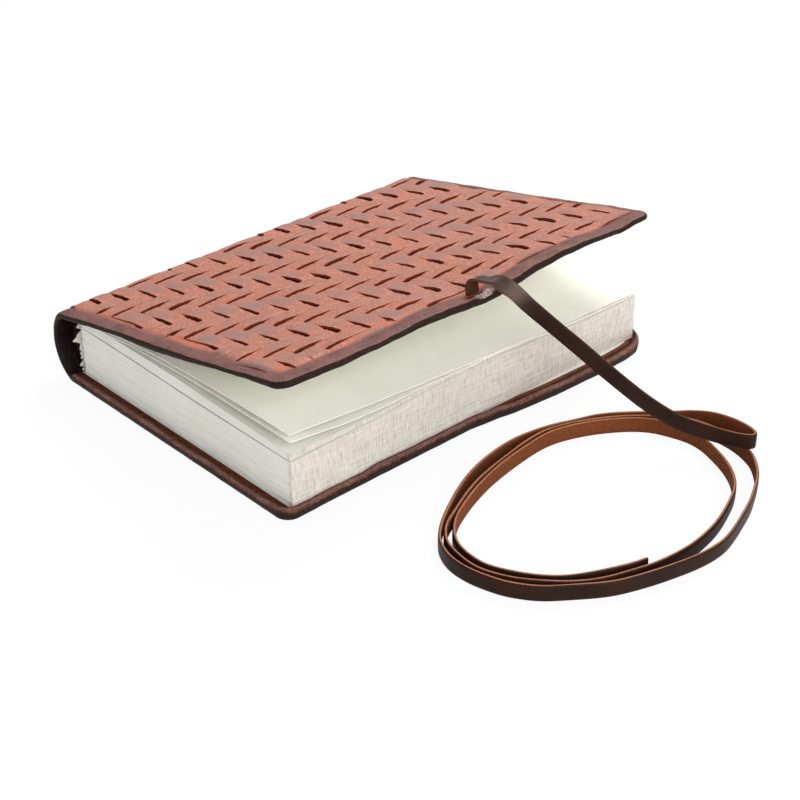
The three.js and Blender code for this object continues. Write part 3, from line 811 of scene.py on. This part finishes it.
def makeStrip(name, isCross, index, ends, replaced):
    count = max(3, round((ends[1] - ends[0]) * weave["strip"] / weave["step"]))
    place = np.linspace(*ends, count)
    phase = place - index + (3 if isCross else 2)
    ownSide = -1 if isCross else 1
    beside = index - ownSide
    ownShare, otherShare = (slashShare(place, line, isCross) for line in (index, beside))
    own = slash(ownShare, isCross, index, np.floor(phase / repeat))
    other = slash(otherShare, isCross, beside, np.floor((phase - beside + index) / repeat))
    level = floatLevel(phase)

    def cross(place, line):
        return lattice(place, line) if isCross else lattice(line, place)

    lattS, lattY = cross(place, index + 0.5)
    # the ends lie down under the border and the spine's foot
    taper = (smooth(lattS, fieldFore + 0.5, fieldFore - 3) * smooth(lattS, footS + 8, footS + 13)
             * smooth(lattY, fieldTail - 0.5, fieldTail + 3)
             * smooth(lattY, fieldHead + 0.5, fieldHead - 2.5))
    arch = np.clip((level - weave["seam"]) / (weave["crest"] - weave["seam"]), 0, 1) * taper
    level = np.where(level > 0.05, 0.05 + (level - 0.05) * taper, level)
    level = level - 0.5 * smooth(lattS, footS + 12, footS + 6)
    # painted shade where the strip passes under the others
    underShade = smooth(level, 0.0, -0.35)

    def sideOf(c):
        # how far this side's edge is open, drawn back and raised
        if c * ownSide > 0:
            drawn = weave["recess"] * own - weave["nearSlant"] * weave["slant"] * runOff(ownShare)
            return own, drawn * taper, own * weave["lift"] * taper
        drawn = weave["farRecess"] * other + weave["slant"] * runOff(otherShare)
        return 0 * other, drawn * taper, 0 * other

    rows = []
    for c in across:
        opened, drawn, raised = sideOf(c)
        crown = weave["crown"] * abs(c) ** 3 * arch * (1 - 0.8 * np.clip(opened, 0, 1))
        # the edge over an open slash gets a pale lip, partly the cut edge's colour and partly a
        # painted highlight
        rows.append((c * 0.5 * (1 - drawn / weave["half"]), level - crown + raised * abs(c) ** 3,
                     arch * (1 - 0.4 * c * c), np.clip(opened * 1.6, 0, 1) * (abs(c) == 1), underShade))
    # the cut side walls: dark dyed leather with painted shade over it
    for c, depth, dark in ((1, 0.3, 0.7), (1, 1.0, 1.0), (-1, 1.0, 1.0), (-1, 0.3, 0.7)):
        opened, drawn, raised = sideOf(c)
        rows.append((c * 0.5 * (1 - drawn / weave["half"]) - c * 0.01, level + raised - depth,
                     arch * 0.2, 0 * level, np.maximum(underShade, dark)))
    aside, height, crest, lip, cut = (np.stack(part, axis=1) for part in zip(*rows))
    along = np.repeat(place[:, None], len(rows), axis=1)
    s, y = cross(along, index + 0.5 + aside)
    # where the strip dives under an open edge it drops into a pit that is also painted dark as
    # shade
    hole = pit(along, index, np.clip(aside, -0.5, 0.5), isCross) * taper[:, None]
    height = height - hole * weave["pitDepth"] * smooth(height, -1.2, 0.2)
    height = height + 0.09 * ripple(s, y, 2.9, 6.0)
    crest, cut = crest * (1 - hole), np.maximum(cut, hole)
    strip = ringPiece(name, onJacket(s, y, height), 55)
    paint(strip, crest=crest, lip=lip, cut=cut, edgeDye=edgeNearness(s, y),
          cross=np.full(s.shape, isCross))
    finishPiece(strip, wovenLeather, "woven_leather", *replaced)
    joinFront(strip)


def makeWeave():
    tuck, places = weave["tuck"], np.linspace(-9, 27, 1400)
    for j in range(-1, weave["rows"]):
        name = f"cross_strip_{j + 1:02d}"
        s = lattice(places, j + 0.5)[0]
        ends = places[(s >= footS + 5) & (s <= fieldFore + tuck)][[0, -1]]
        makeStrip(name, True, j, ends, [f"front_{name}"] if j >= 0 else [])
    for i in range(-weave["spineColumns"], weave["columns"] + 1):
        name = f"long_strip_{i + 1:02d}" if i >= 0 else f"spine_strip_{-i}"
        y = lattice(i + 0.5, places)[1]
        ends = places[(y >= fieldTail - tuck) & (y <= fieldHead + tuck)][[0, -1]]
        makeStrip(name, False, i, ends, [f"front_{name}"] if 0 <= i < weave["columns"] else [])
    print("weave made")


makeWeave()


# Border: the jacket's margin round the weave, rolled over the edge of the boards.
# Each line: inset from the edge, level, how dark, how worn and how strong a highlight is
# painted on its ridge, how much inner leather; what it leaves out is 0

frontSection = [
    (7.4, -0.5, 0.5), (7.4, 0.02, 0), (7.15, 0.18, 0), (6.5, 0.26, 0), (5.2, 0.28, 0),
    (3.7, 0.24, 0), (2.7, 0.17, 0), (1.9, 0.08, 0.05, 0.1), (1.35, -0.02, 0.1, 0.3),
    (0.95, -0.12, 0.15, 1.0), (0.68, -0.32, 0.8, 0.5), (0.4, -0.65, 1.0, 0.15), (0.15, -1.1, 1.1),
    (0.05, -1.55, 1.2), (0.1, -2.0, 1.4), (0.35, -2.35, 1.6), (1.0, -2.55, 1.8), (2.4, -2.75, 1.8),
    (4.2, -3.1, 1.8), (7.6, -3.1, 1.8), (7.6, -2.6, 1.8), (4.0, -2.2, 1.8), (4.0, -0.9, 1.8)]
spineSection = frontSection[:5] + [
    (3.7, 0.26, 0), (2.7, 0.22, 0), (1.9, 0.15, 0.1, 0.2), (1.35, 0.05, 0.2, 0.5),
    (0.95, -0.1, 0.4, 0.9), (0.65, -0.3, 0.8, 0.6), (0.35, -0.65, 1.0, 0.3),
    (0.15, -1.1, 1.1, 0.1), (0.05, -1.5, 1.2), (0.1, -1.9, 1.3), (0.35, -2.3, 1.5),
    (1.0, -2.55, 1.8), (2.4, -2.7, 1.8), (4.2, -2.7, 1.8), (7.6, -2.7, 1.8), (7.6, -2.2, 1.8),
    (4.0, -2.0, 1.8), (4.0, -0.9, 1.8)]
backSection = [
    (7.4, -0.9, 0.5), (7.4, -0.25, 0.2), (7.15, -0.1, 0.1), (6.3, 0, 0), (5.0, 0, 0), (3.7, 0, 0),
    (2.6, 0, 0.1), (1.8, -0.05, 0.3), (1.2, -0.15, 0.8), (0.75, -0.4, 1.0), (0.4, -0.85, 1.0, 0.1),
    (0.15, -1.45, 0.95, 0.2), (0.02, -2.1, 0.9, 0.3), (0.0, -2.8, 0.8, 0.5),
    (0.15, -3.45, 0.6, 0.8), (0.5, -4.0, 0.45, 1.0), (1.05, -4.3, 0.5, 0.9, 0.1),
    (1.7, -4.25, 0.7, 0.4, 0.6), (2.35, -3.85, 0.5, 0.1, 1), (3.1, -3.25, 0.5, 0, 1),
    (4.4, -2.95, 0.8, 0, 1), (7.6, -2.95, 1.4, 0, 1), (7.6, -1.8, 1.4)]
topLines, turnedTo = 9, 17  # the lines on the band's upper side, and the last one on its edge


def marginRoute(length):
    # outer and inner points of the band, from the middle of the spine's tail round to its head
    step, radius, small = margin["step"], margin["corner"], margin["innerCorner"]
    tail, head = -halfHeight, halfHeight
    innerFore = length - margin["fore"]

    def corner(angles, outerY, innerY):
        return [((length - radius + radius * math.cos(a), outerY + radius * math.sin(a)),
                 (innerFore - small + small * math.cos(a), innerY + small * math.sin(a)))
                for a in angles]

    def side(stops, outerY, innerY):
        return [((t, outerY), (min(t, innerFore - small), innerY)) for t in stops]

    arc = np.linspace(0, math.pi / 2, 9)
    # finer steps beside the slit
    stops = np.concatenate([np.arange(tail + radius + step, -14, step),
                            np.arange(-14, 10, margin["fine"]),
                            np.arange(10, head - radius, step)])
    route = side(np.arange(0, length - radius, step), tail, fieldTail)
    route += corner(arc - math.pi / 2, tail + radius, fieldTail + small)
    route += [((length, y), (innerFore, min(max(y, fieldTail + 0.8), fieldHead - 0.8)))
              for y in stops]
    route += corner(arc, head - radius, fieldHead - small)
    route += side(np.append(np.arange(length - radius - step, 0, -step), 0), head, fieldHead)
    return np.array(route, float).transpose(1, 0, 2)


def marginPoints(length, section, blendIn):
    # the band's places and the lines of its section, fading into the spine's section
    outer, inner = marginRoute(length)
    onCover = blendIn(outer[:, 0])[:, None, None]
    own, spine = (np.array([[(*line, 0, 0)[:5] for line in lines]])
                  for lines in (section, spineSection))
    lines = own * onCover + spine * (1 - onCover)
    inset = lines[:, :, 0]
    way = inner - outer
    width = np.linalg.norm(way, axis=1)[:, None]
    near = 2.2  # nearer to the edge than this, the section keeps its shape
    upper = np.arange(len(section)) < topLines
    fitted = near + (inset - near) * (width - near) / (margin["fore"] - near)
    inset = np.where(upper & (inset > near), fitted, np.minimum(inset, width * 1.1 + 1))
    spread = outer[:, None, :] + (way / width)[:, None, :] * inset[:, :, None]
    return spread[:, :, 0], spread[:, :, 1], lines


def edgeDepth(s, y):
    # the cover looks thinner where its board is squeezed
    fore = np.interp(y, (-85, -62, -45, -30, -11, 5, 27, 40, 60, 85),
                     (1.1, 1.0, 0.82, 1.05, 1.2, 1.2, 1.15, 1.05, 0.8, 0.85))
    tail = np.interp(s, (0, 38, 54, 73, 86, 102, 118, 128),
                     (0.8, 0.7, 1.05, 0.95, 0.72, 0.65, 0.9, 1.05))
    share = smooth(frontLength - s, 8, 2)
    return fore * share + tail * (1 - share)


slit = {"half": 1.3, "pit": 2.4, "lip": 0.45, "nick": 0.25, "scuff": 0.12}


def makeFrontMargin():
    t, y, lines = marginPoints(frontLength - middleS, frontSection,
                               lambda t: smooth(t + middleS, -3.0, 4.0))
    s = t + middleS
    level, edge, worn = lines[:, :, 1], lines[:, :, 2], lines[:, :, 3]
    rows = np.arange(level.shape[1])
    depth = np.where(s > 0, edgeDepth(s, y), 1.0)
    ridge = level[:, topLines:topLines + 1]
    turned = (rows > topLines) & (rows <= turnedTo)
    level = np.where(turned, ridge + (level - ridge) * depth, level)
    # dents and slow waves along the rolled edge
    rough = np.interp(rows, (0, 4, 9, 15, 18), (0.2, 0.5, 1.0, 1.0, 0.0))
    level = level + rough * (0.16 * ripple(s, y, 5.0, 7.0) + 0.09 * ripple(s, y, 1.9, 8.0))
    # the slit: a pit painted dark as shade, a dented lip beside it and a nick in the turned edge
    nearSlit = (hill(s - slitS, slit["half"]) * smooth(np.abs(y - laceSet["slitY"]), 4.2, 3.0)
                * (rows < topLines))
    level = level - slit["pit"] * nearSlit
    lip = hill(s - slitS - 1.6, 2.2) * hill(y + 4.2, 1.9)
    scuff = hill(s - slitS - 3.2, 2.1) * hill(y - 1.6, 4.2)
    nick = hill(y + 10.2 + 0.3 * (s - frontLength), 0.5) * (rows > 8) * (s > 100)
    level = (level - slit["lip"] * lip * (rows < 10) - slit["nick"] * nick
             + slit["scuff"] * scuff * ripple(s, y, 0.9, 3.0))
    band = ringPiece("front_margin", onJacket(s - 0.5 * nick, y, level), 60)
    # the slit's pit is painted dark as shade through cut
    paint(band, edge=edge, worn=worn, edgeDye=edgeNearness(s, y),
          cut=0.9 * np.clip(nearSlit * 1.4, 0, 1), wet=np.clip(lip * 1.3, 0, 1) * (rows < 12),
          scuff=np.clip(scuff * 1.2, 0, 1) * (rows < 12))
    finishPiece(band, coverEdge, "edge_leather", "front_border")
    joinFront(band)
    print("front border made")


def makeBackMargin():
    length = middleS - backForeS
    t, y, lines = marginPoints(length, backSection,
                               lambda t: smooth(middleS - t, footS + 5, footS - 2))
    s = middleS - t
    level, edge, worn, inner = (lines[:, :, k] for k in (1, 2, 3, 4))
    rows = np.arange(level.shape[1])
    x = courseAt(s)[0]
    onBoard = smooth(-s, -footS, -footS + 8)
    rise = (0.9 * smooth(x, 52, 64) - 0.25) + 0.35 * ripple(s, y, 9, 5.0) * onBoard
    top = np.interp(rows, (11, 15, 17, 20), (0.0, 1.0, 1.0, 0.0))
    level = level - rise * top * onBoard
    wave = 0.15 * ripple(s, y, 4.0, 7.5) + 0.1 * ripple(s, y, 1.7, 8.5)
    level = np.minimum(level + wave * np.interp(rows, (7, 12, 17, 19), (0, 1, 1, 0)) * onBoard,
                       np.where(s < footS, 0, 9))
    band = ringPiece("back_margin", onJacket(s, y, level), 60)
    paint(band, edge=edge, worn=worn, inner=inner,
          edgeDye=np.maximum(edgeNearness(s, y), smooth(s, middleS, footS)))
    finishPiece(band, coverEdge, "edge_leather", "back_leather")
    joinBack(band)
    print("back border made")


makeFrontMargin()
makeBackMargin()


# Sheets of the jacket and the inside of the covers

def makeLayers():
    start, end = footS - 2.4, backForeS + 4.4
    wide, plate = ((inset - halfHeight, halfHeight - inset) for inset in (3, 4.6))
    # name, run along the jacket, tail and head, low and high, look, slot, node, how it is held
    for name, run, span, (low, high), material, slot, node, hold in (
            ("weave_backing", (footS + 3.0, frontLength - 3), wide, (-2.0, -1.1), spineLeather,
             "spine_leather", "spine_leather", joinFront),
            ("back_panel", (footS + 6.5, backForeS + 6.6), (fieldTail - 0.7, fieldHead + 0.7),
             (-1.2, -0.25), coverEdge, "edge_leather", "back_leather", joinBack),
            ("cover_board", (2.6, frontLength - 4.0), wide, (-2.75, -2.05), boardFinish,
             "board", "front_board", rideFront),
            ("cover_lining", (2.6, frontLength - 4.0), wide, (-3.1, -2.8), liningLeather,
             "lining_leather", "front_lining", rideFront),
            ("cover_endpaper", (8.0, frontLength - 5.2), plate, (-3.4, -3.12), pageFinish,
             "paper", "front_endpaper", rideFront),
            ("back_stiffener", (start, end + 1.6), (5 - halfHeight, halfHeight - 5),
             (-2.85, -1.25), boardFinish, "board", "back_board", rideBack),
            ("back_inner", (start, end), plate, (-3.3, -2.9), liningLeather,
             "lining_leather", "back_lining", rideBack),
            ("back_page", (start - 4, end + 1.4), (-83.6, 83.6), (-3.6, -3.35), pageFinish,
             "paper", "back_endpaper", rideBack)):
        s = np.linspace(*run, 70)[:, None]
        y = np.linspace(*span, 76)[None, :]
        sheet = sheetPiece(name, onJacket(s, y, high), onJacket(s, y, low))
        if material is coverEdge:
            paint(sheet, edgeDye=np.ones(len(sheet.data.vertices)))
        finishPiece(sheet, material, slot, node)
        hold(sheet)
    print("layers made")


makeLayers()


# Paper: four sewn sections, a loose section and two leaves under the cover

paper = {
    "foldX": -56.2,
    "foreX": blockHigh[0],
    "halfY": 84.4,
    "base": blockLow[2],
    # each pair: places along an edge, and how high the paper is there
    "fore": ((-85, -57, -40, -23, 11, 40, 60, 80),
             (21.6, 22.1, 22.7, 24.0, 24.2, 22.2, 21.3, 21.2)),
    "foldTop": 23.0,
    "tail": -85,
    "curl": ((-85, -63.5, -44, -10), (1, 0.5, 0.25, 0)),  # share of the lift along the leaf
    "loose": ((-56, -43, 2, 63), (25.2, 27.2, 27.0, 24.6)),
    "second": ((-56, -43, -25, -8, 24, 63), (24.7, 26.6, 28.6, 29.5, 30.0, 29.5)),
    "topTail": ((-56, -43, -25, -8, 24, 63), (24.9, 27.3, 29.8, 31.2, 32.3, 32.2)),
    "topHead": ((-56, -20, 20, 63), (23.9, 24.5, 24.0, 22.9)),
    "leaf": 0.25,
}


def blockTop(x, y):
    fold = paper["foldTop"] + 0.35 * ripple(y, 0 * x, 19, 3.0)
    return fold + (np.interp(y, *paper["fore"]) - fold) * smooth(x, -50, 30)


def looseThickness(x, y):
    return 2.4 - 0.8 * smooth(x, -20, 63) - 0.8 * (y + 85) / 170


def curled(rest, x, y, name):
    # a leaf's resting surface, raised to its own line at the tail
    lift = np.interp(x, *paper[name]) - rest(x, paper["tail"] + 0 * y)
    return rest(x, y) + np.maximum(lift, 0) * np.interp(y, *paper["curl"])


def looseTop(x, y):
    return curled(lambda x, y: blockTop(x, y) + looseThickness(x, y), x, y, "loose")


def secondTop(x, y):
    return curled(lambda x, y: looseTop(x, y) + 0.15, x, y, "second")


def topTop(x, y):
    tail, head = (np.interp(x, *paper[name]) for name in ("topTail", "topHead"))
    z = head + (tail - head) * np.interp(y, (-85, -44, 11, 82), (1, 0.64, 0.29, 0))
    return np.maximum(z, secondTop(x, y) + 0.3)


def blockPiece(name, low, high, layers, seed, fore=0.0):
    # a stack of leaves between two surfaces, uneven at its four sides
    x = np.linspace(paper["foldX"], paper["foreX"] - fore, 56)
    y = np.linspace(-paper["halfY"], paper["halfY"], 120)
    gridX, gridY = np.meshgrid(x, y, indexing="ij")
    top, under = (np.stack([gridX, gridY, z(gridX, gridY)], axis=-1) for z in (high, low))
    rim = rimOf(*gridX.shape)
    rimTop, rimUnder = (grid.reshape(-1, 3)[rim] for grid in (top, under))
    sideX, sideY = rimTop[:, 0], rimTop[:, 1]
    outX = (sideX == x[-1]) * 1.0 - (sideX == x[0]) * 1.0
    outY = (sideY == y[-1]) * 1.0 - (sideY == y[0]) * 1.0
    stops = np.cumsum([0.6 + chance(seed, k) for k in range(layers)])
    stops = np.concatenate([[0], stops / stops[-1]])
    sides = []
    for k in range(layers):
        jag = (0.03 + 0.07 * chance(k, seed, 3) + 0.03 * ripple(sideX + sideY, k * 9.0, 6, seed)
               + 0.3 * (outX < 0) * chance(seed, k, 9) + 0.05)
        for share in (stops[k] + 0.006, stops[k + 1] - 0.006):
            side = rimUnder + (rimTop - rimUnder) * share
            side[:, 0] -= outX * jag
            side[:, 1] -= outY * jag
            sides.append(side)
    piece = sheetPiece(name, top, under, sides, 35)
    flat = np.zeros(2 * gridX.size)
    paint(piece, rim=np.concatenate([flat, np.ones(len(rim) * 2 * layers)]),
          trim=np.concatenate([flat, np.tile(outX > 0, 2 * layers)]))
    return piece


def leafPiece(name, top, seed):
    x = np.linspace(paper["foldX"] + 0.2, paper["foreX"] - 0.4, 70)[:, None]
    y = np.linspace(-paper["halfY"] + 0.1, paper["halfY"] - 0.1, 90)[None, :]
    x, y = np.broadcast_arrays(x, y)
    edge = smooth(np.abs(y), 74, 84) + smooth(x, 54, 63)
    z = top(x, y) + 0.12 * edge * ripple(x, y, 7, seed)
    return sheetPiece(name, *(np.stack([x, y, z - drop], axis=-1) for drop in (0, paper["leaf"])))


def joinLeaf(piece):
    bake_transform(piece)


def makePaper():
    base, count = paper["base"], 4

    def level(share):
        return lambda x, y: base + (blockTop(x, y) - base) * share

    def looseUnder(x, y):
        lift = looseTop(x, y) - looseThickness(x, y) - blockTop(x, y)
        return blockTop(x, y) + 0.08 + 0.25 * lift

    for k in range(count):
        section = blockPiece(f"paper_section_{k + 1}", level(k / count),
                             level((k + 1) / count - 0.002), 9 + k % 2, 2.0 + k)
        finishPiece(section, edgeFinish, "paper", f"section_{k + 1}")
        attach(section, "text_block")
    loose = blockPiece("paper_loose_section", looseUnder, looseTop, 6, 8.0, 0.5)
    finishPiece(loose, edgeFinish, "paper", "loose_section")
    joinLeaf(loose)
    for name, top in (("second_leaf", secondTop), ("top_leaf", topTop)):
        leaf = leafPiece(f"paper_{name}", top, 5.0 + len(name))
        finishPiece(leaf, pageFinish, "paper", name)
        joinLeaf(leaf)
    print("paper made")


makePaper()


# Cloth over the folds, torn at its tail end, and the sewing through them

cloth = {"x": -57.15, "low": 3.2, "high": 24.6, "thick": 0.3, "reach": 85.4, "flapAt": 17.5,
         "flapHalf": 2.4, "flapLong": 2.6}
thread = {"x": -56.45, "sink": 0.3, "radius": 0.28, "stations": (-72, -44, -16, 16, 44, 72)}


def makeCloth():
    z = np.linspace(cloth["low"], cloth["high"], 60)[:, None]
    torn = 0.9 * ripple(z, 0 * z, 1.1, 4.0) + 0.7 * ripple(z, 0 * z, 0.45, 6.0)
    away = np.abs(z - cloth["flapAt"]) / cloth["flapHalf"]
    flap = cloth["flapLong"] * np.clip(1 - away, 0, 1)
    tail = -cloth["reach"] + 1.2 + torn - flap
    share = np.linspace(0, 1, 110)[None, :] ** 1.3
    y = tail + (cloth["reach"] - 1 - tail) * share
    z = z + 0 * y
    x = cloth["x"] + 0.25 * ripple(y, z, 5, 3.0) - 0.5 * hill(y + 84, 2.5)
    half = cloth["thick"] / 2
    piece = sheetPiece("spine_cloth", *(np.stack([x + w, y, z], axis=-1) for w in (-half, half)))
    finishPiece(piece, clothFinish, "spine_lining", "spine_lining")
    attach(piece, "text_block")


def tube(path, radius, around=8):
    way = unit(np.gradient(path, axis=0))
    up = unit(np.cross(way, (1.0, 0.13, 0.07)))
    side = np.cross(way, up)
    turn = np.linspace(0, 2 * np.pi, around, endpoint=False)
    return (path[:, None, :] + radius * (np.cos(turn)[None, :, None] * up[:, None, :]
                                         + np.sin(turn)[None, :, None] * side[:, None, :]))


def makeThread():
    low, high = nodeBox("sewing_thread")
    points, faces = [], []
    stations = thread["stations"]
    for k in range(4):
        z = low[2] + (high[2] - low[2]) * (k + 0.5) / 4
        for a, b in zip(stations[::2], stations[1::2]):
            y = np.linspace(a, b, 24)
            x = thread["x"] - thread["sink"] * np.sin(np.pi * (y - a) / (b - a)) ** 0.3
            path = np.stack([x, y, z + 0.15 * ripple(y, y, 5, k + 1.0)], axis=1)
            ring = tube(path, thread["radius"])
            start = sum(len(p) for p in points)
            points.append(ring.reshape(-1, 3))
            faces += [tuple(start + i for i in face) for face in ringFaces(*ring.shape[:2])]
    piece = makePiece("sewing", np.concatenate(points), faces)
    finishPiece(piece, threadFinish, "sewing_thread", "sewing_thread")
    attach(piece, "text_block")
    print("cloth and sewing made")


makeCloth()
makeThread()


# Floor, world and lamps

studio = {"worldLight": 0.61, "aim": (0.03, 0, 0.02), "floor": 0.86, "floorReach": 6.0,
          "floorSeen": 0.92, "floorMirrored": 0.5}
lamps = {
    "key": {"place": (-0.3, 0.7, 0.95), "size": 0.6, "power": 10.8},
    "fill": {"place": (1.0, -0.22, 0.5), "size": 0.9, "power": 8.5},
    "side": {"place": (-0.5, -0.8, 0.8), "size": 0.9, "power": 0.4},
}


def makeFloor():
    mesh = bpy.data.meshes.new("floor")
    reach = studio["floorReach"]
    corners = [(-reach, -reach, 0), (reach, -reach, 0), (reach, reach, 0), (-reach, reach, 0)]
    mesh.from_pydata(corners, [], [(0, 1, 2, 3)])
    floor = newObject("floor", mesh)
    f = Finish("floor", Roughness=0.9, Specular_IOR_Level=0.0)
    f.set("Base Color", (studio["floor"],) * 3 + (1.0,))
    seen, mirrored = (f.add("ShaderNodeLightPath", {}, (), ray)
                      for ray in ("Is Camera Ray", "Is Glossy Ray"))
    lit, glow = Wire(f, f.shader.outputs[0]), f.add("ShaderNodeEmission", {}, ())
    share = (seen * studio["floorSeen"] + mirrored * studio["floorMirrored"]).clamped()
    mixed = f.add("ShaderNodeMixShader", {}, (share, lit, glow))
    output = next(n for n in f.tree.nodes if n.type == "OUTPUT_MATERIAL")
    f.feed(output.inputs["Surface"], mixed)
    mesh.materials.append(f.material)


def makeStudio():
    world = bpy.data.worlds.new("studio")
    nodes = Nodes(world)
    # the light that the world gives, and the white that the camera sees
    light, white = (nodes.add("ShaderNodeBackground", {}, {"Color": (1, 1, 1, 1), "Strength": s})
                    for s in (studio["worldLight"], 1.0))
    seen = nodes.add("ShaderNodeLightPath", {}, (), "Is Camera Ray")
    mixed = nodes.add("ShaderNodeMixShader", {}, (seen, light, white))
    nodes.add("ShaderNodeOutputWorld", {}, (mixed,))
    bpy.context.scene.world = world
    for name, settings in lamps.items():
        lamp = bpy.data.lights.new(name, "AREA")
        lamp.size = settings["size"]
        lamp.energy = settings["power"]
        aimed(name, lamp, settings["place"], studio["aim"])
    print("studio lit")


makeFloor()
makeStudio()
